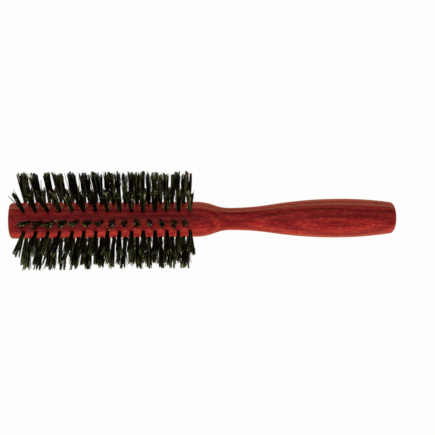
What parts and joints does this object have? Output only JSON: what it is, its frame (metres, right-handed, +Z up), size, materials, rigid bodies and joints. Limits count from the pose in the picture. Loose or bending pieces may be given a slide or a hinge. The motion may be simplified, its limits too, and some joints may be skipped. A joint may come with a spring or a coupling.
{
  "type": "round barrel hairbrush",
  "caption": "Round hairbrush: a one-piece turned wooden barrel, waisted neck and swelling grip, with staggered rows of dark bristle tufts set radially into the barrel",
  "frame": {"origin": "centre of the flat face at the free end of the barrel, on the turning axis", "axes": "+X along the turning axis toward the butt of the handle; +Z up; +Y completes the right-hand set; the brush lies on the two tuft rows nearest to -Z"},
  "size_m": [0.235, 0.0586, 0.0564],
  "materials": {
    "wood": "deep red stained fine-grained wood under a satin varnish",
    "bristle": "near-black stiff bristles with a few paler ones, slightly shiny",
    "staple_wire": "bright drawn wire"
  },
  "bodies": {
    "root": {"brush_body": "wood", "tuft_row_01": "bristle", "staple_row_01": "staple_wire", "tuft_row_02": "bristle", "staple_row_02": "staple_wire", "tuft_row_03": "bristle", "staple_row_03": "staple_wire", "tuft_row_04": "bristle", "staple_row_04": "staple_wire", "tuft_row_05": "bristle", "staple_row_05": "staple_wire", "tuft_row_06": "bristle", "staple_row_06": "staple_wire", "tuft_row_07": "bristle", "staple_row_07": "staple_wire", "tuft_row_08": "bristle", "staple_row_08": "staple_wire", "tuft_row_09": "bristle", "staple_row_09": "staple_wire", "tuft_row_10": "bristle", "staple_row_10": "staple_wire"}
  },
  "joints": []
}
